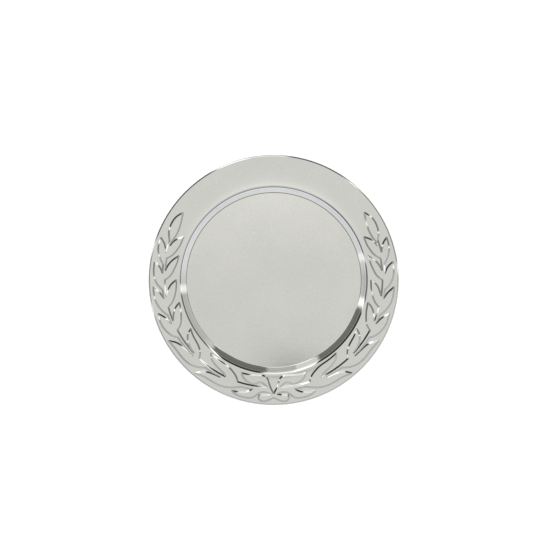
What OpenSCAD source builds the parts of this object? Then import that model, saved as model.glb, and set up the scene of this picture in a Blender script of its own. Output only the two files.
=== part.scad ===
// Round pressed-metal offering plate: a flat well, a wide rim embossed with
// a laurel wreath, and an edge rolled over a stiffening wire.
//
// Frame: the underside of the well lies on z = 0 and is centred on the
// origin. The wreath's stems cross on the -Y side and it opens towards +Y.

/* [Plate] */
// Diameter over the rolled edge
plate_d = 254; // [252:1:300]
// Thickness of the sheet
sheet_t = 0.7; // [0.5:0.05:0.8]
// Diameter of the flat floor of the well
floor_d = 176; // [150:1:177]
// Height from the floor of the well up to the shoulder of the rim
well_depth = 7; // [5:0.5:8]
// Lean of the well's wall away from level
wall_angle = 54; // [50:1:62]
// Fillet at the foot of the wall, on the upper side
foot_r = 1.2; // [0.8:0.1:2]
// Fillet at the shoulder of the rim, on the upper side
shoulder_r = 4.2; // [2.5:0.1:4.6]
// Upward slope of the rim
rim_angle = 2.2; // [1:0.2:5]

/* [Rolled edge] */
// Diameter of the wire inside the rolled edge
wire_d = 2; // [1.6:0.1:2.4]
// Clearance between the wire and the sheet rolled round it
wire_gap = 0.05; // [0.02:0.01:0.1]
// Gap where the two ends of the wire meet
wire_joint = 0.8; // [0.5:0.1:2]

/* [Wreath] */
// Height that the wreath stands above the rim
emboss_h = 0.8; // [0.5:0.1:1]
// Radius of the circle that each stem follows
stem_r = 111.2; // [110.5:0.1:111.8]
// Width of each stem
stem_w = 2.7; // [2.2:0.1:3.4]

/* [Hidden] */
$fn = 96;

// Rolled edge: its outer radius and the place of its centre across the plate
curl_r = wire_d / 2 + wire_gap + sheet_t;
curl_x = plate_d / 2 - curl_r;
// The curl starts on the rim and closes back on itself under the rim
curl_end = -172;

// Well: where its foot fillet, straight wall and shoulder fillet start and end
foot_x = floor_d / 2;
foot_z = sheet_t + foot_r;
wall_rise = well_depth - foot_r * (1 - cos(wall_angle))
    - shoulder_r * (cos(rim_angle) - cos(wall_angle));
wall_l = wall_rise / sin(wall_angle);
wall_x = foot_x + foot_r * sin(wall_angle);
wall_z = foot_z - foot_r * cos(wall_angle);
shoulder_x = wall_x + wall_l * cos(wall_angle) + shoulder_r * sin(wall_angle);
shoulder_z = wall_z + wall_l * sin(wall_angle) - shoulder_r * cos(wall_angle);

// Rim: its upper face starts at the shoulder and rises to the curl
rim_x = shoulder_x - shoulder_r * sin(rim_angle);
rim_z = shoulder_z + shoulder_r * cos(rim_angle);
rim_end_x = curl_x - curl_r * sin(rim_angle);
curl_z = rim_top(rim_end_x) - curl_r * cos(rim_angle);
function rim_top(x) = rim_z + (x - rim_x) * tan(rim_angle);

// Sheet thickness measured straight up through the sloping rim
rim_t = sheet_t / cos(rim_angle);

// Leaves of one branch, from the stems' crossing round to the open end.
// Each has its root [angle, radius], its tip [angle, radius], and how far its
// two edges bow out from the line between them: towards the well, then
// towards the edge of the plate. Angles run from -Y.
inner_leaves = [
    [[2, 112.4], [19, 99.7], 9, 4],
    [[17, stem_r], [40.5, 96.8], 2.9, 5.5],
    [[41, stem_r], [59.5, 97.2], 2, 6.5],
    [[60, stem_r], [76.5, 98.2], 2.2, 5.8],
    [[74, stem_r], [90, 98.6], 2.5, 5.5],
    [[88.5, stem_r], [104, 99.1], 2.3, 5],
    [[100, stem_r], [115.5, 101.3], 2.6, 5.2]
];
outer_leaves = [
    [[8, 113.2], [20.5, 120], 2.5, 6.2],
    [[15, stem_r], [40, 123], 4, 5.9],
    [[36, stem_r], [60, 122.8], 3.2, 7],
    [[57.5, stem_r], [73.5, 121.7], 3.5, 5.5],
    [[70, stem_r], [86.5, 121.9], 4, 4.8],
    [[83.5, stem_r], [98.5, 121.9], 3.9, 4.9],
    [[96.5, stem_r], [110.5, 122.1], 3.6, 4.2]
];
end_leaf = [[109, stem_r], [126.5, 114.3], 2.9, 6.5];
stem_start = 8;
stem_finish = 110;

// Straight steps in a leaf's edge and in a stem
leaf_steps = 7;
stem_steps = 24;

// Stem where it leaves its circle, crosses the other one and ends in a blunt
// cut, as [angle, radius]
stem_foot = [
    [10, 109.9], [4, 109.5], [0, 114.9], [-3, 116.8], [-7, 117.2],
    [-7.4, 120.5], [-6, 123], [-3.6, 122.8], [-1.5, 120.7], [0, 119.1],
    [1.8, 115.3], [4, 114], [7.5, 113.2], [10, 112.5]
];

// A point given as an angle from -Y and a radius
function at(p) = [p[1] * sin(p[0]), -p[1] * cos(p[0])];

// Points along an arc about c, in n steps from angle a to angle b
function arc(c, r, a, b, n) =
    [for (i = [0:n]) c + r * [cos(a + (b - a) * i / n), sin(a + (b - a) * i / n)]];

// Half section of the sheet: along the upper side from the centre to the end
// of the curl, then back along the lower side
module sheet_section() {
    foot = [foot_x, foot_z];
    shoulder = [shoulder_x, shoulder_z];
    curl = [curl_x, curl_z];
    up = 90 + rim_angle;
    lean = 90 + wall_angle;
    polygon(concat(
        [[0, sheet_t]],
        arc(foot, foot_r, -90, wall_angle - 90, 5),
        arc(shoulder, shoulder_r, lean, up, 6),
        arc(curl, curl_r, up, curl_end, 24),
        arc(curl, curl_r - sheet_t, curl_end, up, 24),
        arc(shoulder, shoulder_r - sheet_t, up, lean, 6),
        arc(foot, foot_r + sheet_t, wall_angle - 90, -90, 5),
        [[0, 0]]
    ));
}

// Turned shape whose seam lies at +Y, in the open end of the wreath
module turned() {
    rotate([0, 0, 90]) rotate_extrude() children();
}

// Everything between two heights measured from the rim's upper face
module rim_layer(low, high) {
    a = rim_x;
    b = curl_x;
    turned()
        polygon([
            [a, rim_top(a) + low], [b, rim_top(b) + low],
            [b, rim_top(b) + high], [a, rim_top(a) + high]
        ]);
}

// Pointed leaf between two circular edges, drawn in all round by inset. Each
// edge is an arc that bows out from the line between root and tip, and the two
// drawn-in arcs meet where the circles that they belong to cross.
module leaf(p, inset) {
    root = at(p[0]);
    tip = at(p[1]);
    half = norm(tip - root) / 2;
    along = (tip - root) / (2 * half);
    out = [along[1], -along[0]];
    in_r = (half * half + p[2] * p[2]) / (2 * p[2]);
    out_r = (half * half + p[3] * p[3]) / (2 * p[3]);
    in_c = in_r - p[2];
    out_c = out_r - p[3];
    r_in = in_r - inset;
    r_out = out_r - inset;
    cross = (r_out * r_out - r_in * r_in - out_c * out_c + in_c * in_c)
        / (2 * (out_c + in_c));
    reach = sqrt(r_out * r_out - (cross + out_c) * (cross + out_c));
    out_sweep = atan2(reach, cross + out_c);
    in_sweep = atan2(reach, in_c - cross);
    middle = (root + tip) / 2;
    last = leaf_steps - 1;
    polygon(concat(
        [for (i = [0:leaf_steps])
            let (t = out_sweep * (2 * i / leaf_steps - 1))
            middle - out_c * out + r_out * (cos(t) * out + sin(t) * along)],
        [for (i = [1:last])
            let (t = in_sweep * (1 - 2 * i / leaf_steps))
            middle + in_c * out + r_in * (sin(t) * along - cos(t) * out)]
    ));
}

// The stretch of stem that runs along the circle
module stem(inset) {
    low = stem_r - stem_w / 2 + inset;
    high = stem_r + stem_w / 2 - inset;
    turn = (stem_finish - stem_start) / stem_steps;
    polygon(concat(
        [for (i = [0:stem_steps]) at([stem_start + i * turn, high])],
        [for (i = [0:stem_steps]) at([stem_finish - i * turn, low])]
    ));
}

// One branch of laurel, drawn in all round by inset
module branch(inset) {
    stem(inset);
    for (p = inner_leaves) leaf(p, inset);
    for (p = outer_leaves) leaf(p, inset);
    leaf(end_leaf, inset);
    if (inset > 0)
        offset(delta = -inset) polygon([for (p = stem_foot) at(p)]);
    else
        polygon([for (p = stem_foot) at(p)]);
}

module wreath(inset = 0) {
    branch(inset);
    mirror([1, 0, 0]) branch(inset);
}

// The pressed sheet: floor, wall, rim and rolled edge in one piece. The
// wreath is pushed up from below, so it is hollow underneath.
module plate() {
    tall = 4 * well_depth;
    color("silver")
        difference() {
            union() {
                turned() sheet_section();
                intersection() {
                    linear_extrude(tall) wreath();
                    rim_layer(-rim_t / 2, emboss_h);
                }
            }
            intersection() {
                linear_extrude(tall) wreath(sheet_t);
                rim_layer(-rim_t - 1, emboss_h - rim_t);
            }
        }
}

// Steel wire bent to a ring, with its two ends nearly touching at +Y
module rim_wire() {
    joint = wire_joint / curl_x * 180 / PI;
    color("dimgray")
        rotate([0, 0, 90 + joint / 2])
            rotate_extrude(angle = 360 - joint)
                translate([curl_x, curl_z]) circle(d = wire_d, $fn = 48);
}

plate();
rim_wire();
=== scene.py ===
# %% [markdown]
# # A pressed and plated offering plate
# The real plate is one disc of thin sheet. A press gives it a flat well, an S-shaped wall and a wide
# rim, and a second tool pushes a laurel wreath up into the rim. The edge is rolled over a steel wire,
# then the whole thing is nickel plated and polished. So there are two pieces to build here: the sheet
# and the wire. Both are worked out in millimetres, and turned into metres as they become meshes.

# %% Load the frame
import math

import bpy
import numpy as np
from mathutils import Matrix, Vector
from mathutils.geometry import delaunay_2d_cdt


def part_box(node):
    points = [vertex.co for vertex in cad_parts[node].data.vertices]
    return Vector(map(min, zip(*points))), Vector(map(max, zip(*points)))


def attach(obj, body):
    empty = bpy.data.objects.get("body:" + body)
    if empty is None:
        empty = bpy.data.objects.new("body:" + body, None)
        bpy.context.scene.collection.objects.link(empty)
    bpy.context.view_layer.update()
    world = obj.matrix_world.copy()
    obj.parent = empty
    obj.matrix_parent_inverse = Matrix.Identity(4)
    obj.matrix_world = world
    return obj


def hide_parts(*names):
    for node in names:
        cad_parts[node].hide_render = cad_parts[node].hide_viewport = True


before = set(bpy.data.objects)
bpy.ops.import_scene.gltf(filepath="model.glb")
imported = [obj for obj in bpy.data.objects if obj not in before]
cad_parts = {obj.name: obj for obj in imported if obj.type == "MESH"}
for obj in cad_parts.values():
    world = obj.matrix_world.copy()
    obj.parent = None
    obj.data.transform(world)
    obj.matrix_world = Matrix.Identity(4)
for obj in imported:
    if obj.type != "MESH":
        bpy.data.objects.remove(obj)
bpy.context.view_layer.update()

MM = 0.001

# %% [markdown]
# ## Sizes that come from the design
# The design fixes the outside of the plate and the ring of wire. Their two boxes and the clearance
# between sheet and wire give the radius of the rolled edge, the place of its centre and the thickness
# of the sheet. So the new sheet is rolled round the same wire in the same place. They could be typed
# in again, but then a change in the design would leave this model behind.

# %% Read the sizes
_, plate_high = (np.array(c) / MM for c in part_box("plate"))
wire_low, wire_high = (np.array(c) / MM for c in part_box("rim_wire"))
plate_r = round(plate_high[0], 1)
wire_r = round((wire_high[2] - wire_low[2]) / 2, 1)
wire_gap = 0.05  # clearance between the wire and the sheet rolled round it
curl_x = round(wire_high[0] - wire_r, 2)
curl_z = (wire_high[2] + wire_low[2]) / 2
curl_r = plate_r - curl_x
sheet = curl_r - wire_r - wire_gap
print(f"plate radius {plate_r:.2f}, curl {curl_r:.2f} at {curl_x:.2f}, {curl_z:.2f}, sheet {sheet:.2f}")

# %% [markdown]
# ## The rim's gentle dish
# A pressed rim is never quite a straight cone. It leaves the shoulder falling outwards by about a
# degree, turns within 2 mm, rises by 2 degrees before it is a third of the way out, and by nearly 4 at
# the edge. A polished surface shows this clearly, because a turn of one degree moves its reflection by
# two. It could be a row of typed heights, but a slope that is a formula, summed from the edge inwards,
# has no kinks for a reflection to catch on.

# %% Rim slope and height
rim_start = 96.3
slope_at_shoulder, line_at_shoulder, slope_at_edge = -1.3, 1.7, 3.7  # degrees
dip_reach = 0.11  # share of the rim's width over which the dip falls to 1 / e
rim_steps = 600

edge_slope = math.radians(slope_at_edge)
rim_end = curl_x - curl_r * math.sin(edge_slope)
rim_r = np.linspace(rim_start, rim_end, rim_steps)


def rim_slope(r):
    """Slope in radians: a straight line from shoulder to edge, less a dip that fades as e^(-t / reach),
    where t is 0 at the shoulder and 1 at the edge."""
    t = np.clip((r - rim_start) / (rim_end - rim_start), 0, 1)
    straight = line_at_shoulder + (slope_at_edge - line_at_shoulder) * t
    dip = (line_at_shoulder - slope_at_shoulder) * np.exp(-t / dip_reach)
    return np.radians(straight - dip)


steps = np.diff(rim_r) * np.tan(rim_slope((rim_r[1:] + rim_r[:-1]) / 2))
climb = np.concatenate([[0], np.cumsum(steps)])
rim_z = curl_z + curl_r * math.cos(edge_slope) + climb - climb[-1]
print(f"rim rises {climb[-1]:.2f} mm, from {rim_z[0]:.2f} to {rim_z[-1]:.2f}")


def rim_height(r):
    """Height of the rim's upper face: the slope summed inwards from where the curl begins."""
    return np.interp(r, rim_r, rim_z)


# %% [markdown]
# ## The section of the sheet
# Half of the plate's section is a chain of a flat floor, a small hollow fillet, a slightly hollow wall,
# a round shoulder, the rim and the curl. Each stretch gives its points and its normals together. The
# underside is the same chain moved in by one sheet thickness along the normals, which keeps the
# thickness even in the steep wall, where moving it straight down would thin it.

# %% Stretches of the section
floor_edge = 88.6
foot_r, shoulder_r = 1.0, 4.2
foot_lean = math.radians(53)
same_place = 1e-6


def arc(centre, radius, start, end, count, side=1):
    """Points centre + radius (cos a, sin a) for count angles, with normals out of (or into) the arc."""
    a = np.linspace(start, end, count)
    way = np.stack([np.cos(a), np.sin(a)], axis=1)
    return np.array(centre) + radius * way, side * way


def along_rim(start, end, count):
    """Points on the rim's upper face, with normals square to its slope."""
    r = np.linspace(start, end, count)
    s = rim_slope(r)
    return np.stack([r, rim_height(r)], 1), np.stack([-np.sin(s), np.cos(s)], 1)


def joined(*stretches):
    """One chain from several, dropping a stretch's first point where it repeats the last one."""
    points, normals = stretches[0]
    for p, n in stretches[1:]:
        keep = slice(1, None) if np.hypot(*(p[0] - points[-1])) < same_place else slice(None)
        points, normals = np.vstack([points, p[keep]]), np.vstack([normals, n[keep]])
    return points, normals


start_slope = rim_slope(np.array([rim_start]))[0]
quarter = math.pi / 2
shoulder = (rim_start + shoulder_r * math.sin(start_slope), rim_z[0] - shoulder_r * math.cos(start_slope))
foot = (floor_edge, sheet + foot_r)
floor_r = np.array([0.0, 12, 24, 36, 48, 58, 67, 75, 82, 86.5])  # rings, closer towards the fillet
floor_stretch = (
    np.stack([floor_r, np.full_like(floor_r, sheet)], 1),
    np.tile([0.0, 1.0], (len(floor_r), 1)),
)


def wall_bow(top_lean):
    """Where the foot's fillet ends, and the run and rise from there to the start of the shoulder. A
    fillet's end is its centre + radius (sin lean, -cos lean), and the shoulder's is the same with -."""
    foot_end = (floor_edge + foot_r * math.sin(foot_lean), sheet + foot_r * (1 - math.cos(foot_lean)))
    start = (shoulder[0] - shoulder_r * math.sin(top_lean), shoulder[1] + shoulder_r * math.cos(top_lean))
    return foot_end, start[0] - foot_end[0], start[1] - foot_end[1]


# The wall is a shallow arc, so its chord leans by the mean of the two end leans. Where the chord ends
# depends on the lean at the top, so the two are found together by repeating both steps.
lean_rounds = 60
top_lean = foot_lean
for _ in range(lean_rounds):
    foot_end, run, rise = wall_bow(top_lean)
    top_lean = 2 * math.atan2(rise, run) - foot_lean
wall_r = math.hypot(run, rise) / (2 * math.sin((top_lean - foot_lean) / 2))
wall = (foot_end[0] - wall_r * math.sin(foot_lean), foot_end[1] + wall_r * math.cos(foot_lean))
leans = f"{math.degrees(foot_lean):.0f} to {math.degrees(top_lean):.1f} degrees"
print(f"wall: {run:.2f} across, {rise:.2f} up, leaning {leans}")

# The last number of each stretch is how many points it gets.
relief_margin = 1.0  # between the relief and the centre of the curl
relief_in, relief_out = rim_start, curl_x - relief_margin
well_top = joined(
    floor_stretch,
    arc(foot, foot_r, -quarter, foot_lean - quarter, 9, side=-1),
    arc(wall, wall_r, foot_lean - quarter, top_lean - quarter, 9, side=-1),
    arc(shoulder, shoulder_r, quarter + top_lean, quarter + start_slope, 17),
)
curl_end = math.radians(-172)
curl_top = joined(
    along_rim(relief_out, rim_end, 4),
    arc((curl_x, curl_z), curl_r, quarter + edge_slope, curl_end, 34),
)


def underside(stretch):
    """The same stretch on the lower face, in from the upper one by the thickness, run backwards."""
    points, normals = stretch
    return (points - sheet * normals)[::-1], -normals[::-1]


print(f"well: {len(well_top[0])} points in its section, curl: {len(curl_top[0])}")

# %% [markdown]
# ## The outline of the wreath
# Each branch is a stem that follows a circle, with seven pairs of leaves and one more at its end. The
# stems cross at the bottom and end in blunt cuts. A leaf has a full edge that swells out from the stem
# and a hollow edge that runs back to it. Each edge is a smooth curve through a few stations, given as
# an angle in degrees from -Y and a radius in millimetres. Drawing the curve in those two values, not
# in x and y, makes a stem with two stations follow its circle by itself.

# %% Stations of the leaves
# Each leaf: its edge from the stem to the tip, then its edge from the tip back to the stem.
inner_leaves = [
    ([(19.5, 109.3), (21, 105.4), (24, 101.6), (27, 99.4), (33, 98.2), (38, 97.8), (40.5, 97.45)],
     [(40.5, 97.45), (39, 100.6), (36, 103.5), (31, 105.8), (28, 107.4), (26.5, 109.4)]),
    ([(43.5, 109.5), (45, 105.4), (48, 101.8), (51, 100.3), (56, 99), (59.5, 97.45)],
     [(59.5, 97.45), (58.2, 101.6), (56, 105.2), (53, 107.8), (47.5, 109.6)]),
    ([(62.5, 109.9), (64, 105.4), (68, 101), (72, 98.9), (76.5, 98.1)],
     [(76.5, 98.1), (74.5, 102.9), (71, 107.3), (68, 110)]),
    ([(75.5, 110.1), (77.5, 105.4), (81, 101.4), (85, 99.2), (90, 98.5)],
     [(90, 98.5), (87.5, 104.1), (84, 108), (81.5, 110.1)]),
    ([(90, 110.2), (92, 105.4), (96, 101.5), (100, 99.5), (104.3, 99)],
     [(104.3, 99), (101.3, 104.1), (98, 108), (95, 110.3)]),
    ([(101.5, 110.5), (103.2, 106.5), (107, 102.7), (110, 101.2), (115.5, 101.2)],
     [(115.5, 101.2), (113.2, 105.8), (110.5, 109.2), (108.3, 110.7)]),
]
end_leaf = (
    [(109.7, 110.9), (113, 109.2), (117, 108.6), (121.5, 110.2), (126.7, 114.3)],
    [(126.7, 114.3), (122.4, 117.8), (118, 118.1), (114, 116.2), (111, 112.9)],
)
outer_leaves = [
    ([(98, 113), (100.6, 116.8), (105, 121), (110.7, 122.2)],
     [(110.7, 122.2), (108.4, 116.6), (104.5, 112.7)]),
    ([(85, 113), (88, 118), (92, 121.2), (98.7, 122)],
     [(98.7, 122), (96.4, 116), (93.5, 112.9)]),
    ([(71.5, 113), (75, 117.6), (80, 121.4), (86.7, 122)],
     [(86.7, 122), (83.8, 116.4), (80.5, 112.8)]),
    ([(59, 113), (61, 116.8), (65, 120.7), (69.5, 122.4), (73.7, 121.8)],
     [(73.7, 121.8), (70.7, 116), (67, 112.7)]),
    ([(38, 112.5), (41, 116.8), (45, 120.3), (50, 121.4), (55, 121.4), (60, 122.9)],
     [(60, 122.9), (57, 116.8), (53, 113.8), (47, 112.5)]),
    ([(17, 113), (20, 115.7), (24, 118.7), (30, 120.2), (35.5, 120.6), (40, 123.1)],
     [(40, 123.1), (38, 117.8), (35, 114.3), (29, 112.3)]),
    ([(8.2, 116.8), (10, 120.5), (13, 122.3), (16, 122.5), (18.8, 121.5), (20.6, 119.8)],
     [(20.6, 119.8), (16, 118), (13, 115.5), (11.2, 112.5)]),
]
# The crossing: from the notch between the stems round the first leaf, and from the last leaf round
# the cut end of the other stem to the notch below.
crossing_in = [
    [(0, 114.9), (1.3, 110.5), (2.7, 104), (3.7, 99.9), (5.2, 97.9), (8, 97.5), (11, 98.1), (15, 99),
     (19, 99.6)],
    [(19, 99.6), (18, 102.2), (16, 105.1), (13, 106.9), (10, 106.6), (7.5, 104.5), (5.5, 105.7),
     (3.7, 108.6)],
]
crossing_out = [
    [(8.2, 116.8), (7, 114.9), (4, 114), (1.8, 115.4)],
    [(1.8, 115.4), (4, 116.6), (7, 117)],
    [(7, 117), (7.4, 120.3), (6, 123.1), (3.6, 122.7), (1.6, 120.8), (0, 119.2)],
]


def wreath_strokes():
    """One branch's outline as strokes that meet at corners, with stem stretches between the leaves."""
    strokes = list(crossing_in)
    for leaf in [*inner_leaves, end_leaf]:
        strokes += [[strokes[-1][-1], leaf[0][0]], *leaf]
    for out, back in outer_leaves:
        strokes += [[strokes[-1][-1], back[-1]], back[::-1], out[::-1]]
    return strokes + crossing_out


print(f"{len(wreath_strokes())} strokes in a branch's outline")

# %% [markdown]
# ## Smooth curves through the stations
# A natural cubic spline bends as little as it can while passing through every station, the way a thin
# strip of wood bends round nails. Its second derivatives come from one small set of equations. Angles
# are first turned into millimetres along a circle about as big as the stems', so that both values
# count alike.

# %% Draw the strokes
mm_per_degree = math.radians(1) * 110
outline_step = 0.35
tiny = 1e-9  # keeps a divisor away from nought


def smooth_curve(stations, spacing):
    """Natural cubic spline through the stations: piecewise cubics whose second derivatives M solve
    h0 M0 + 2 (h0 + h1) M1 + h1 M2 = 6 (slope1 - slope0), and are nought at both ends."""
    y = np.array(stations, float) * [mm_per_degree, 1]
    h = np.maximum(np.hypot(*np.diff(y, axis=0).T), tiny)
    n = len(y)
    lhs, rhs = np.eye(n), np.zeros((n, 2))
    i = np.arange(1, n - 1)
    lhs[i, i - 1], lhs[i, i], lhs[i, i + 1] = h[:-1], 2 * (h[:-1] + h[1:]), h[1:]
    rhs[1:-1] = 6 * np.diff(np.diff(y, axis=0) / h[:, None], axis=0)
    m = np.linalg.solve(lhs, rhs)
    knots = np.concatenate([[0], np.cumsum(h)])
    t = np.linspace(0, knots[-1], max(2, int(round(knots[-1] / spacing)) + 1))
    k = np.clip(np.searchsorted(knots, t, side="right") - 1, 0, n - 2)
    a, b, hk = (knots[k + 1] - t)[:, None], (t - knots[k])[:, None], h[k][:, None]
    curve = (a**3 * m[k] + b**3 * m[k + 1]) / (6 * hk)
    curve += (y[k] / hk - hk * m[k] / 6) * a + (y[k + 1] / hk - hk * m[k + 1] / 6) * b
    angle, radius = np.radians(curve[:, 0] / mm_per_degree), curve[:, 1]
    return np.stack([radius * np.sin(angle), -radius * np.cos(angle)], 1)


fine = [smooth_curve(s, outline_step) for s in wreath_strokes()]
seg_a = np.vstack([s[:-1] for s in fine])
seg_b = np.vstack([s[1:] for s in fine])
corners = np.array([s[0] for s in fine] + [fine[-1][-1]])
print(f"half outline: {np.hypot(*(seg_b - seg_a).T).sum():.0f} mm in {len(seg_a)} segments")

# %% [markdown]
# ## How far is a point from the outline?
# The press leaves a sloping side of even width all round the wreath. Such a side is a function of one
# number: the distance to the outline, counted as positive inside. The two branches are mirror images,
# so every point is folded to the +X half first. Lofting a side along each leaf would be the other way,
# but where leaves and stem meet such sides cut through each other, and a distance never does.

# %% Signed distance
batch = 1500  # points at a time, to keep the tables of distances small
off_seam = 1e-6  # keeps a folded point off the line x = 0, where the two branches touch
emboss = 0.8
side_w = 1.9


def signed_distance(points):
    """Distance to the nearest outline segment, positive where a ray towards +X crosses the closed
    outline an odd number of times, and the unit direction in which that distance grows."""
    p = np.abs(points[:, :1]) + off_seam
    p = np.hstack([p, points[:, 1:]])
    closed_a = np.vstack([seg_a, seg_b[-1:]])
    closed_b = np.vstack([seg_b, seg_a[:1]])
    run = seg_b - seg_a
    run2 = np.maximum((run**2).sum(1), tiny)
    distance, way = np.empty(len(p)), np.empty((len(p), 2))
    for start in range(0, len(p), batch):
        q = p[start : start + batch, None, :]
        t = np.clip(((q - seg_a) * run).sum(2) / run2, 0, 1)
        off = q - (seg_a + t[..., None] * run)
        d2 = (off**2).sum(2)
        nearest = d2.argmin(1)
        rows = np.arange(len(nearest))
        d = np.sqrt(d2[rows, nearest])
        x, y = q[..., 0], q[..., 1]
        spans = (closed_a[:, 1] > y) != (closed_b[:, 1] > y)
        go, rise = (closed_b - closed_a).T
        at = closed_a[:, 0] + (y - closed_a[:, 1]) * go / np.where(rise == 0, 1, rise)
        sign = np.where((spans & (x < at)).sum(1) % 2 == 1, 1, -1)
        distance[start : start + batch] = sign * d
        way[start : start + batch] = sign[:, None] * off[rows, nearest] / np.maximum(d, tiny)[:, None]
    way[:, 0] *= np.where(points[:, 0] < 0, -1, 1)
    return distance, way


def relief(distance):
    """Height pushed up, emboss (3 t^2 - 2 t^3) where t = distance / side_w + 1/2, and the rate at which
    that height changes with distance, emboss 6 t (1 - t) / side_w."""
    t = np.clip(distance / side_w + 0.5, 0, 1)
    return emboss * t * t * (3 - 2 * t), emboss * 6 * t * (1 - t) / side_w


steepest = math.degrees(math.atan(relief(np.zeros(1))[1][0]))
print(f"the wreath's sides are {side_w} mm wide and at most {steepest:.0f} degrees steep")

# %% [markdown]
# ## A net that is fine only where the metal bends
# A grid fine enough for the leaves' sides all over the rim would need half a million faces. Here rows
# of points follow the outline at a few distances on both sides of it, a sparse net fills the level
# parts, and a Delaunay triangulation joins them. Rows that would cross each other in a narrow place
# are dropped by asking each point whether it is really as far from the outline as its row is.

# %% Points of the relief
turns = 360
fan_points = 12
row_error = 0.06  # how far a point may be from the distance that its row asks for
halves_overlap = 0.2  # how far rows run past x = 0 before they are cut there
seam_reach = 0.12  # points this close to x = 0 are moved onto it
ring_gap = 0.25  # bare strip beside each bounding circle
cell = 0.22  # of several points in one square cell only the first stays


def circle(radius, count=turns, shift=0.0):
    """Points (radius cos a, radius sin a) for a = 2 pi (0, 1, 2 ... + shift) / count, from +X."""
    a = (np.arange(count) + shift) * 2 * math.pi / count
    return np.stack([radius * np.cos(a), radius * np.sin(a)], 1)


def side_rows(spacing, rows):
    """Points beside the outline: station + row x normal, and fans of points round each corner."""
    found = []
    fan = circle(1.0, fan_points)
    for row in rows:
        for stations in wreath_strokes():
            line = smooth_curve(stations, spacing)
            run = np.gradient(line, axis=0)
            run /= np.hypot(*run.T)[:, None]
            found.append((line + row * np.stack([run[:, 1], -run[:, 0]], 1), row))
        found.append(((corners[:, None] + abs(row) * fan).reshape(-1, 2), row))
    points = np.vstack([p for p, _ in found])
    wanted = np.concatenate([np.full(len(p), row) for p, row in found])
    distance, _ = signed_distance(points)
    right = np.abs(np.abs(distance) - np.abs(wanted)) < row_error
    return points[right & (points[:, 0] > -halves_overlap)]


def relief_points(r_in, r_out, spacing, rows, fill):
    """All points of one face of the rim: side rows, level filling and the two bounding circles."""
    rings = []
    for k, r in enumerate(np.arange(r_in + fill, r_out - fill / 2, fill)):
        rings.append(circle(r, int(2 * math.pi * r / fill), k % 2 / 2))
    level = np.vstack(rings)
    distance, _ = signed_distance(level)
    level = level[(np.abs(distance) > max(rows) + fill / 3) & (level[:, 0] >= -tiny)]
    half = np.vstack([side_rows(spacing, rows), level])
    half[np.abs(half[:, 0]) < seam_reach, 0] = 0
    radius = np.hypot(*half.T)
    half = half[(radius > r_in + ring_gap) & (radius < r_out - ring_gap)]
    half = half[np.unique(np.round(half / cell), axis=0, return_index=True)[1]]
    other = half[half[:, 0] > 0] * [-1, 1]
    return np.vstack([circle(r_in), circle(r_out), half, other])


def triangulate(points):
    """Delaunay triangles between the two bounding circles, which are the first 2 x turns points, all
    turned to face up: the cross product of two sides is positive."""
    ring = [(i, (i + 1) % turns) for i in range(turns)]
    ring += [(turns + a, turns + b) for a, b in ring]
    found = delaunay_2d_cdt([Vector(p) for p in points.tolist()], ring, [], 0, same_place)
    source = np.array([o[0] if o else -1 for o in found[3]])
    faces = source[np.array(found[2])]
    faces = faces[(faces >= turns).any(1) & (faces >= 0).all(1)]
    a, b, c = (points[faces[:, k]] for k in range(3))
    area = (b[:, 0] - a[:, 0]) * (c[:, 1] - a[:, 1]) - (b[:, 1] - a[:, 1]) * (c[:, 0] - a[:, 0])
    return np.where(area[:, None] > 0, faces, faces[:, ::-1])


print(f"bounding circles of {turns} points at {relief_in:.2f} and {relief_out:.2f} mm")

# %% [markdown]
# ## Patches that share their edges
# The sheet is sewn from seven patches. The well and the curl are turned shapes with an upper and a
# lower face each, the narrow cut at the sheet's edge is turned too, and the rim's two faces carry the
# relief.
# Each hands over points, normals and faces. Where two patches meet they have the same points on the
# same circle, so joining equal points closes the shell. A boolean union of solids could join them too,
# but it leaves slivers that a mirror shows.

# %% Patch makers
equal_digits = 3  # points that agree to the micrometre are the same point


def grid_quads(rows, columns):
    """Faces (i, j), (i + 1, j), (i + 1, j + 1), (i, j + 1) of a grid whose last column meets its first."""
    i, j = np.meshgrid(np.arange(rows - 1), np.arange(columns), indexing="ij")
    k = (j + 1) % columns
    quads = [i * columns + j, (i + 1) * columns + j, (i + 1) * columns + k, i * columns + k]
    return np.stack(quads, 2).reshape(-1, 4)


def turned_patch(stretch):
    """The stretch turned about Z: (r cos a, r sin a, z) over a grid of angle and place in the section."""
    points, normals = stretch
    a = np.arange(turns) * 2 * math.pi / turns
    c, s = np.cos(a)[None, :], np.sin(a)[None, :]
    r, z = points[:, :1], points[:, 1:]
    nr, nz = normals[:, :1], normals[:, 1:]
    flat = np.ones_like(c)
    co = np.stack([r * c, r * s, z * flat], 2).reshape(-1, 3)
    no = np.stack([nr * c, nr * s, nz * flat], 2).reshape(-1, 3)
    return co, no, grid_quads(len(r), turns)


def rim_patch(r_in, r_out, thickness, spacing, rows, fill):
    """One face of the rim: height = dished rim + relief - thickness, normal = (-dz/dx, -dz/dy, 1)."""
    points = relief_points(r_in, r_out, spacing, rows, fill)
    faces = triangulate(points)
    distance, way = signed_distance(points)
    up, rate = relief(distance)
    radius = np.hypot(*points.T)
    slope = rim_slope(radius)
    z = rim_height(radius) + up - thickness / np.cos(slope)
    grade = np.tan(slope)[:, None] * points / radius[:, None] + rate[:, None] * way
    no = np.hstack([-grade, np.ones((len(points), 1))])
    no /= np.sqrt((no**2).sum(1))[:, None]
    return np.hstack([points, z[:, None]]), no, faces


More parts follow.
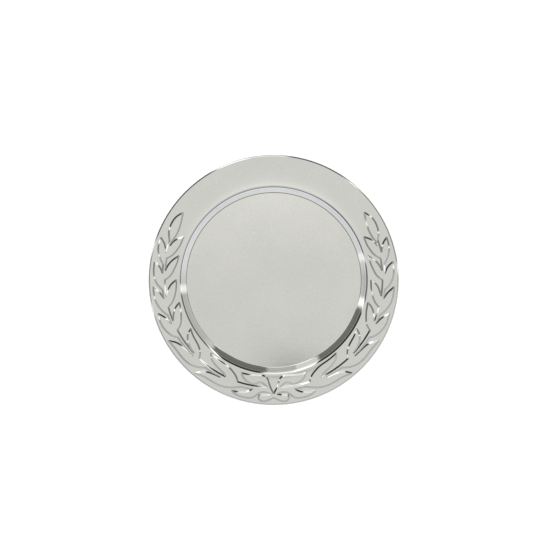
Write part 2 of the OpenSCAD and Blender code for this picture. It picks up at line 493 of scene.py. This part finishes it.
def sew(patches, name):
    """One mesh from many patches: equal points become one, and a face keeps only its different corners."""
    co = np.vstack([p[0] for p in patches])
    no = np.vstack([p[1] for p in patches])
    same = np.round(co, equal_digits)
    _, first, where = np.unique(same, axis=0, return_index=True, return_inverse=True)
    where = where.ravel()
    faces, start = [], 0
    for points, _, polys in patches:
        merged = where[polys + start]
        start += len(points)
        faces += [list(dict.fromkeys(f)) for f in merged.tolist()]
    faces = [f for f in faces if len(f) > 2]
    mesh = bpy.data.meshes.new(name)
    mesh.from_pydata((co[first] * MM).tolist(), [], faces)
    mesh.polygons.foreach_set("use_smooth", np.ones(len(faces), bool))
    mesh.normals_split_custom_set_from_vertices(no[first].tolist())
    mesh.update()
    return mesh


def add_piece(name, mesh, *materials):
    """An object at the origin that carries the mesh."""
    for m in materials:
        mesh.materials.append(m)
    piece = bpy.data.objects.new(name, mesh)
    bpy.context.collection.objects.link(piece)
    return piece


def report(piece):
    """Prints the size of a piece and how many of its edges aren't shared by exactly two faces."""
    mesh = piece.data
    ends = np.empty(len(mesh.loops), int)
    mesh.loops.foreach_get("edge_index", ends)
    odd = (np.bincount(ends, minlength=len(mesh.edges)) != 2).sum()
    triangles = len(mesh.loops) - 2 * len(mesh.polygons)
    size = ", ".join(f"{1000 * s:.1f}" for s in piece.dimensions)
    print(f"{piece.name}: {triangles} triangles, {size} mm, {odd} open edges")


print(f"the well's upper face alone takes {len(grid_quads(len(well_top[0]), turns))} quads")

# %% [markdown]
# ## Sewing the sheet
# The real sheet has two faces and one cut edge, hidden in the roll. The same formulas give both faces,
# the lower one a sheet's thickness down and turned to face the other way, and a lip closes the cut.
# The lower face is seldom seen, so its rows are fewer and further apart. At the circles that the rim
# shares with well and curl the relief has faded out, and the rim takes over their exact heights,
# because a difference of a micrometre would leave a slit.

# %% Sew the sheet
upper_rows = (-1.0, -0.75, -0.45, -0.15, 0.15, 0.45, 0.75, 1.0)
lower_rows = (-0.95, -0.32, 0.32, 0.95)
upper_spacing, lower_spacing = 0.85, 1.3  # between the points of a row
upper_fill, lower_fill = 2.4, 3.0  # between the points of the level parts
well_under, curl_under = underside(well_top), underside(curl_top)
under_in, under_out = well_under[0][0][0], curl_under[0][-1][0]
upper_rim = rim_patch(relief_in, relief_out, 0, upper_spacing, upper_rows, upper_fill)
lower_rim = rim_patch(under_in, under_out, sheet, lower_spacing, lower_rows, lower_fill)
for patch, inner_z, outer_z in (
    (upper_rim, well_top[0][-1][1], curl_top[0][0][1]),
    (lower_rim, well_under[0][0][1], curl_under[0][-1][1]),
):
    patch[0][:turns, 2] = inner_z
    patch[0][turns : 2 * turns, 2] = outer_z
lower_rim = (lower_rim[0], -lower_rim[1], lower_rim[2][:, ::-1])
lip = (
    np.vstack([curl_top[0][-1:], curl_under[0][:1]]),
    np.vstack([curl_top[1][-1:], curl_under[1][:1]]),
)
sheet_mesh = sew(
    [turned_patch(well_top), upper_rim, turned_patch(curl_top), turned_patch(lip),
     turned_patch(curl_under), lower_rim, turned_patch(well_under)],
    "plate_sheet",
)
plate = add_piece("plate_sheet", sheet_mesh)
report(plate)

# %% [markdown]
# ## The wire in the rolled edge
# The wire is cut to length and bent to a ring before the sheet is rolled over it, so its two ends only
# butt together, and the shears leave them slightly domed. It is a small circle carried along a big
# one, closed at each end by rings that shrink to a point. A torus would be shorter to write, but it
# has no ends.

# %% Bend the wire
wire_joint = 0.8  # gap between the two ends, before they are domed
end_bulge = 0.35  # how far each domed end stands out into that gap
wire_sides, wire_rings, dome_rings = 20, 420, 6


def wire_patch(sides, rings, dome):
    """Small circle (curl_x + rho cos u, curl_z + rho sin u) carried round angle v. rho is the wire's
    radius, and falls along a quarter circle to nought over the last rings at each end."""
    tail = np.sin(np.linspace(0, quarter, dome))
    rho = np.concatenate([tail, np.ones(rings), tail[::-1]]) * wire_r
    half_joint = wire_joint / curl_x / 2
    v = np.linspace(quarter + half_joint, quarter + 2 * math.pi - half_joint, rings)
    reach = end_bulge / curl_x * (1 - np.cos(np.linspace(0, quarter, dome)))
    v = np.concatenate([v[0] - reach[::-1], v, v[-1] + reach])
    u = np.arange(sides) * 2 * math.pi / sides
    cu, su = np.cos(u)[None, :], np.sin(u)[None, :]
    cv, sv = np.cos(v)[:, None], np.sin(v)[:, None]
    radius = curl_x + rho[:, None] * cu
    co = np.stack([radius * cv, radius * sv, curl_z + rho[:, None] * su], 2)
    no = np.stack([cu * cv, cu * sv, su * np.ones_like(cv)], 2)
    return co.reshape(-1, 3), no.reshape(-1, 3), grid_quads(len(v), sides)


wire = add_piece("edge_wire", sew([wire_patch(wire_sides, wire_rings, dome_rings)], "edge_wire"))
report(wire)

# %% [markdown]
# ## Short words for making materials
# A material is a chain of small sums, each one a node. These helpers make a node, give its sockets
# numbers or other nodes' outputs, and name the few sums that every metal here needs. Building the
# chains by hand in the editor would look the same, but nobody could read how it was done.

# %% Node helpers


def empty_material(name):
    """A node material with no nodes in it."""
    m = bpy.data.materials.new(name)
    m.use_nodes = True
    m.node_tree.nodes.clear()
    return m


def node(m, kind, inputs=(), **settings):
    """A node of that kind. Sockets in inputs take either a value or another node's output."""
    n = m.node_tree.nodes.new("ShaderNode" + kind)
    for key, value in settings.items():
        setattr(n, key, value)
    for key, value in dict(inputs).items():
        if isinstance(value, bpy.types.NodeSocket):
            m.node_tree.links.new(value, n.inputs[key])
        else:
            n.inputs[key].default_value = value
    return n


def surface_material(name, metallic=1.0):
    """A material with one Principled shader, a metal unless told otherwise, wired to its output."""
    m = empty_material(name)
    shader = node(m, "BsdfPrincipled", {"Metallic": metallic})
    node(m, "OutputMaterial", {"Surface": shader.outputs[0]})
    return m, shader


def make_glow(m, colour):
    """Turns an empty material into one that gives off that colour and is never picked as a lamp."""
    lamp = node(m, "Emission", {"Color": colour, "Strength": 1.0}).outputs[0]
    node(m, "OutputMaterial", {"Surface": lamp})
    m.cycles.emission_sampling = "NONE"


def maths(m, operation, *values):
    """The output of a Math node for those values or sockets."""
    return node(m, "Math", enumerate(values), operation=operation).outputs[0]


def from_axis(m, split):
    """Distance from the plate's axis: the square root of x x + y y."""
    squares = [maths(m, "MULTIPLY", split[k], split[k]) for k in (0, 1)]
    return maths(m, "SQRT", maths(m, "ADD", *squares))


def noise(m, coords, scale, detail=2.0, rough=0.5):
    """The grey value of a noise texture, about 0.5 on average."""
    sockets = {"Vector": coords, "Scale": scale, "Detail": detail, "Roughness": rough}
    return node(m, "TexNoise", sockets).outputs[0]


def remap(m, value, low, high, to_low, to_high):
    """value from low..high to to_low..to_high, clamped and eased at both ends."""
    sockets = {"Value": value, "From Min": low, "From Max": high, "To Min": to_low, "To Max": to_high}
    return node(m, "MapRange", sockets, interpolation_type="SMOOTHSTEP").outputs[0]


def mix_colour(m, amount, a, b):
    """The colour between a and b."""
    return node(m, "Mix", {0: amount, 6: a, 7: b}, data_type="RGBA").outputs[2]


def blend(m, share, a, b):
    """share x a + (1 - share) x b, for two sums of nodes."""
    return maths(m, "ADD", maths(m, "MULTIPLY", a, share), maths(m, "MULTIPLY", b, 1 - share))


def wire_up(m, shader, **sockets):
    """Links outputs to the shader's sockets; an underscore in a name stands for a space."""
    for name, output in sockets.items():
        m.node_tree.links.new(output, shader.inputs[name.replace("_", " ")])


# %% [markdown]
# ## Nickel plate
# Nickel is a slightly warm white metal. Buffing leaves hair-fine lines that run round the plate, wiping
# leaves streaks across it, and the floor is a little hazier than the rim. A thin dark olive line of
# painted shade runs in the crease at the wall's foot, except on the -Y side. None of this is deep: on a
# mirror, a bump that tilts the surface by a tenth of a degree can already be seen. The tones come from
# noise measured in the object's own coordinates, so they stay put when the plate moves.

# %% Mix the nickel
nickel_white = (0.83, 0.827, 0.80, 1)
nickel_grey = (0.765, 0.764, 0.742, 1)
# Colour of the painted shade in the crease at the wall's foot
crease_shade_olive = (0.22, 0.20, 0.14, 1)
streak_angle = math.radians(38)
streak_scale = (24, 420, 60)  # long one way, fine the other
polish_depth = 0.000004  # 4 micrometres
# Distances from the axis, in metres, between which the haze ends and the painted shade line starts and
# stops
haze_ends = (0.084, 0.089)
shade_line_starts, shade_line_stops = (0.0884, 0.0889), (0.0890, 0.0897)
shade_line_strength = 0.92
shade_line_fades = (-0.055, 0.04)  # along Y: nothing of it on the -Y side

nickel, shader = surface_material("nickel_plate")
coords = node(nickel, "TexCoord").outputs["Object"]
split = node(nickel, "SeparateXYZ", {0: coords}).outputs
radius = from_axis(nickel, split)
streak_turn = node(nickel, "Mapping", {0: coords, 2: (0, 0, streak_angle), 3: streak_scale}).outputs[0]
streaks = noise(nickel, streak_turn, 1.0, 3.0, 0.6)
haze = noise(nickel, coords, 55.0, 3.0, 0.55)
clouds = noise(nickel, coords, 19.0, 2.0, 0.5)
grain = noise(nickel, coords, 900.0, 2.0, 0.7)

# Each remap takes the stretch of the noise that counts, then the two values that it becomes.
on_floor = remap(nickel, radius, *haze_ends, 1.0, 0.0)
hazy = maths(nickel, "MULTIPLY", on_floor, remap(nickel, haze, 0.35, 0.7, 0.0, 0.03))
roughness = maths(nickel, "ADD", hazy, remap(nickel, streaks, 0.3, 0.75, 0.035, 0.065))

patchy = remap(nickel, blend(nickel, 0.35, clouds, grain), 0.38, 0.62, 0.0, 1.0)
# Painted shade: a dark olive line in the crease at the wall's foot, none of it on the -Y side
crease_shade_in = remap(nickel, radius, *shade_line_starts, 0.0, 1.0)
crease_shade_out = remap(nickel, radius, *shade_line_stops, 1.0, 0.0)
painted_crease_shade = maths(nickel, "MULTIPLY", maths(nickel, "MULTIPLY", crease_shade_in, crease_shade_out), shade_line_strength)
painted_crease_shade = maths(nickel, "MULTIPLY", painted_crease_shade, remap(nickel, split[1], *shade_line_fades, 0.0, 1.0))
tone = mix_colour(nickel, painted_crease_shade, mix_colour(nickel, patchy, nickel_grey, nickel_white), crease_shade_olive)

ring_coords = node(nickel, "CombineXYZ", {0: radius, 1: 0.0, 2: 0.0}).outputs[0]
buffing = noise(nickel, ring_coords, 2600.0, 2.0, 0.6)
height = blend(nickel, 0.3, buffing, streaks)
bump = node(nickel, "Bump", {"Strength": 1.0, "Distance": polish_depth, "Height": height}).outputs[0]
wire_up(nickel, shader, Base_Color=tone, Roughness=roughness, Normal=bump)
sheet_mesh.materials.append(nickel)
print(f"{nickel.name}: {len(nickel.node_tree.nodes)} nodes")

# %% [markdown]
# ## Drawn wire
# The wire is plain steel, never plated where the sheet covers it. Pulling it through a die leaves
# long scratches that follow its length, so the noise is read in coordinates bent round the ring: it
# changes slowly with the angle and fast across the wire. Straight coordinates would make the
# scratches run across the wire at two sides of the ring.

# %% Mix the wire's steel
steel_light = (0.50, 0.49, 0.47, 1)
steel_dark = (0.27, 0.26, 0.25, 1)
rust_brown = (0.20, 0.16, 0.12, 1)
along_scale = 0.012  # metres of noise for each radian round the ring: small, so scratches are long
scratch_depth = 0.00001

steel, shader = surface_material("drawn_steel")
coords = node(steel, "TexCoord").outputs["Object"]
split = node(steel, "SeparateXYZ", {0: coords}).outputs
radius = from_axis(steel, split)
along = maths(steel, "MULTIPLY", maths(steel, "ARCTAN2", split[0], split[1]), along_scale)
bent = node(steel, "CombineXYZ", {0: radius, 1: along, 2: split[2]}).outputs[0]
lines = noise(steel, bent, 5200.0, 3.0, 0.6)
stains = noise(steel, coords, 260.0, 3.0, 0.6)
tone = mix_colour(steel, remap(steel, lines, 0.35, 0.65, 0.0, 1.0), steel_dark, steel_light)
tone = mix_colour(steel, remap(steel, stains, 0.55, 0.8, 0.0, 0.5), tone, rust_brown)
roughness = remap(steel, stains, 0.3, 0.8, 0.24, 0.5)
bump = node(steel, "Bump", {"Strength": 0.6, "Distance": scratch_depth, "Height": lines}).outputs[0]
wire_up(steel, shader, Base_Color=tone, Roughness=roughness, Normal=bump)
wire.data.materials.append(steel)
print(f"{steel.name}: {len(steel.node_tree.nodes)} nodes")

# %% [markdown]
# ## The room
# A polished plate shows its room, not itself, so the room has to be built. It is a dome that only
# reflections can see. Its light is a function of two angles: the way round, from +Y towards +X, and
# the way down from overhead. Overhead it is pale, with one darker patch. Round that stand four kinds
# of wall, each darkest about halfway down: a nearly black one at +Y, a pale and bluish one at -Y, and
# two between them. Six tall soft boxes stand in front. A picture of a real room could be wrapped on
# the dome, but a formula keeps every tone where a reader can change it. Its sizes are in metres.

# %% Describe the room
# Overhead: tones at these angles towards +Y, in degrees
overhead_at = [-16, -9, -3, 0, 1.6, 3.3, 5.3, 8.7, 14]
overhead = [0.78, 0.74, 0.745, 0.755, 0.765, 0.80, 0.86, 0.93, 0.95]
patch_x, patch_y, patch_wide, patch_long, patch_depth = 0.9, -6.2, 1.9, 1.4, 0.27
overhead_ends = (9, 13)

# Tones of the four kinds of wall at these angles down from overhead, and which kind stands where
tone_at = [9.5, 14, 20, 30, 42, 54, 60, 66, 72, 80, 86, 91]
fore = [0.90, 0.30, 0.04, 0.030, 0.02, 0.02, 0.080, 0.21, 0.21, 0.25, 0.12, 0.10]
side = [0.85, 0.60, 0.30, 0.16, 0.15, 0.15, 0.26, 0.50, 0.68, 0.76, 0.60, 0.40]
rear = [0.80, 0.79, 0.72, 0.52, 0.27, 0.22, 0.50, 0.95, 1.02, 1.02, 1.00, 1.00]
shade = [0.80, 0.78, 0.50, 0.18, 0.15, 0.18, 0.50, 0.88, 0.98, 1.00, 1.00, 1.00]
walls_at = [-180, -155, -140, -104, -92, -80, -70, 40, 49, 80, 98, 180]
walls = np.array([rear, rear, shade, shade, side, side, fore, fore, side, side, rear, rear])

# Tints as shares of red, green and blue
overhead_tint, wall_tint, cool_tint = [1.0, 1.0, 0.965], [1.0, 1.0, 0.97], [-0.03, 0.0, 0.08]
cool_from = (60, 110)

# Soft boxes: start and end of their width in degrees, lean, light high up, light low down
soft_boxes = (
    (-28, -12, -3, 1.75, 0.95),
    (-12, 6, -3, 1.15, 0.64),
    (37, 44, 7, 1.7, 0.8),
    (82, 87, 0, 1.05, 1.35),
    (-77, -71, -3, 0.95, 1.5),
    (-106, -101, -2, 0.85, 1.3),
)
box_blur, box_top, box_waist, box_middle = 1.6, (14, 18), (52, 60), 45
print(f"{len(tone_at)} tones down each wall, {len(soft_boxes)} soft boxes")

# %% [markdown]
# ## Light from every direction
# A direction between two walls gets a mix of both, so the room has no hard corners but those of its
# soft boxes. Their edges are blurred by a degree or two, as the cloth of a real soft box does, because
# a perfectly sharp edge would look cut out with scissors in the wall of the plate.

# %% Light of a direction


def eased(value, low, high):
    """0 below low, 1 above high, 3 t^2 - 2 t^3 between."""
    t = np.clip((value - low) / (high - low), 0, 1)
    return t * t * (3 - 2 * t)


def room_light(way, down):
    """Red, green and blue light from the direction given by two angles in degrees. Overhead it is the
    tone along +Y less a patch e^(-u u - v v). Lower down it is a mix of the walls' tones on both sides
    and above and below, w = a (1 - t) + b t each way. A soft box covers what stands behind it."""
    y = down * np.cos(np.radians(way))
    x = down * np.sin(np.radians(way))
    u, v = (x - patch_x) / patch_wide, (y - patch_y) / patch_long
    above = np.interp(y, overhead_at, overhead) - patch_depth * np.exp(-(u**2) - v**2)
    above = above[..., None] * overhead_tint
    kinds = np.stack([np.interp(way, walls_at, column) for column in walls.T], 2)
    spot = np.clip(np.interp(down, tone_at, np.arange(len(tone_at))), 0, len(tone_at) - 1.001)
    over = spot.astype(int)
    rows, columns = np.indices(spot.shape)
    t = spot - over
    low = kinds[rows, columns, over] * (1 - t) + kinds[rows, columns, over + 1] * t
    coolness = eased(np.abs(way), *cool_from)[..., None]
    low = low[..., None] * (wall_tint + coolness * cool_tint)
    share = eased(down, *overhead_ends)[..., None]
    light = above * (1 - share) + low * share
    for start, end, leaning, high, deep in soft_boxes:
        across = way - leaning * (down - box_middle) / box_middle
        box = eased(across, start - box_blur, start + box_blur)
        box *= 1 - eased(across, end - box_blur, end + box_blur)
        box = (box * eased(down, *box_top))[..., None]
        strength = high + (deep - high) * eased(down, *box_waist)[..., None]
        light = light * (1 - box) + strength * box
    return light


print("light straight overhead:", room_light(np.zeros((1, 1)), np.zeros((1, 1))).ravel().round(3))

# %% [markdown]
# ## Painting the dome
# Each point of the dome gets the light of its own direction, and the faces between blend it. The dome
# and the grey ground under it give light to reflections only. As real lamps they would have to be
# sampled from every point of the metal, and they would wash out the shadow on the paper.

# %% Paint the room
room_r = 2.0
dome_turns, dome_rows, dome_bottom = 540, 270, 91
disc_sides = 96
ground_r, ground_z = 1.95, -0.0001
ground_grey = (0.78, 0.79, 0.80, 1)


def disc_mesh(name, radius, height):
    """A flat round face about the axis, its corners from circle(), in metres."""
    ring = np.hstack([circle(radius, disc_sides), np.full((disc_sides, 1), height)])
    mesh = bpy.data.meshes.new(name)
    mesh.from_pydata(ring.tolist(), [], [list(range(disc_sides))])
    return mesh


rings_down = np.linspace(0, dome_bottom, dome_rows)
way_round = np.linspace(-180, 180, dome_turns, endpoint=False)
down, way = np.meshgrid(rings_down, way_round, indexing="ij")
a, d = np.radians(way), np.radians(down)
dome_co = room_r * np.stack([np.sin(d) * np.sin(a), np.sin(d) * np.cos(a), np.cos(d)], 2)
dome_faces = grid_quads(dome_rows, dome_turns)[:, [0, 3, 2, 1]]  # turned to face inwards
dome_mesh = bpy.data.meshes.new("room")
dome_mesh.from_pydata(dome_co.reshape(-1, 3).tolist(), [], dome_faces.tolist())
paint = dome_mesh.color_attributes.new("room_light", "FLOAT_COLOR", "POINT")
colours = np.concatenate([room_light(way, down), np.ones((*way.shape, 1))], 2)
paint.data.foreach_set("color", colours.astype(np.float32).ravel())

glow = empty_material("room_glow")
make_glow(glow, node(glow, "Attribute", attribute_name="room_light").outputs[0])
room = add_piece("room", dome_mesh, glow)

dusk = empty_material("ground_glow")
make_glow(dusk, ground_grey)
ground = add_piece("ground", disc_mesh("ground", ground_r, ground_z), dusk)
for thing in (room, ground):
    thing.visible_camera = False
    thing.visible_diffuse = False
    thing.visible_shadow = False
    thing.visible_transmission = False
print(f"room: {len(colours) * dome_turns} painted points, brightest {colours[..., :3].max():.2f}")

# %% [markdown]
# ## Floor, light and camera
# The plate lies on a plain pale sheet. A pale sky lights it evenly, one large soft light overhead
# adds the faint shadow, and the camera looks straight down from about a metre and a half through a
# long lens. A small bright lamp would be simpler, but its shadow would be hard and dark.

# %% Set the stage
paper_r, paper_z = 1.9, -0.0002
sky_strength = 1.02
lamp_size, lamp_power, lamp_height = 3.0, 60.0, 2.2
lens_mm, film_mm = 100, 36
camera_at = (0.0064, 0, 1.584)

floor_mesh = disc_mesh("floor", paper_r, paper_z)
paper, shader = surface_material("white_paper", metallic=0.0)
shader.inputs["Base Color"].default_value = (0.92, 0.92, 0.92, 1)
shader.inputs["Roughness"].default_value = 0.9
shader.inputs["Specular IOR Level"].default_value = 0.1
add_piece("floor", floor_mesh, paper)

scene = bpy.context.scene
world = bpy.data.worlds.new("sky")
world.use_nodes = True
sky = world.node_tree.nodes["Background"]
sky.inputs["Color"].default_value = (1.0, 1.0, 1.0, 1)
sky.inputs["Strength"].default_value = sky_strength
scene.world = world

lamp_data = bpy.data.lights.new("overhead", "AREA")
lamp_data.shape = "SQUARE"
lamp_data.size = lamp_size
lamp_data.energy = lamp_power
soft_lamp = bpy.data.objects.new("overhead", lamp_data)
soft_lamp.location = (0, 0, lamp_height)
soft_lamp.visible_camera = False
soft_lamp.visible_glossy = False
bpy.context.collection.objects.link(soft_lamp)

camera_data = bpy.data.cameras.new("camera")
camera_data.lens = lens_mm
camera_data.sensor_width = film_mm
camera_data.clip_start = 0.01
camera = bpy.data.objects.new("camera", camera_data)
camera.location = camera_at
bpy.context.collection.objects.link(camera)
scene.camera = camera
scene.view_settings.view_transform = "Standard"
print(f"camera {camera_at[2]} m up with a {lens_mm} mm lens, lamp {lamp_height} m up")

# %% [markdown]
# ## Hand over
# Both pieces belong to the plate's one rigid body. They take the place of the two solids that the
# design made, which are hidden.

# %% Tie the pieces to the frame
for piece, solid, finish in ((plate, "plate", "plated_sheet"), (wire, "rim_wire", "edge_wire")):
    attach(piece, "root")
    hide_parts(solid)
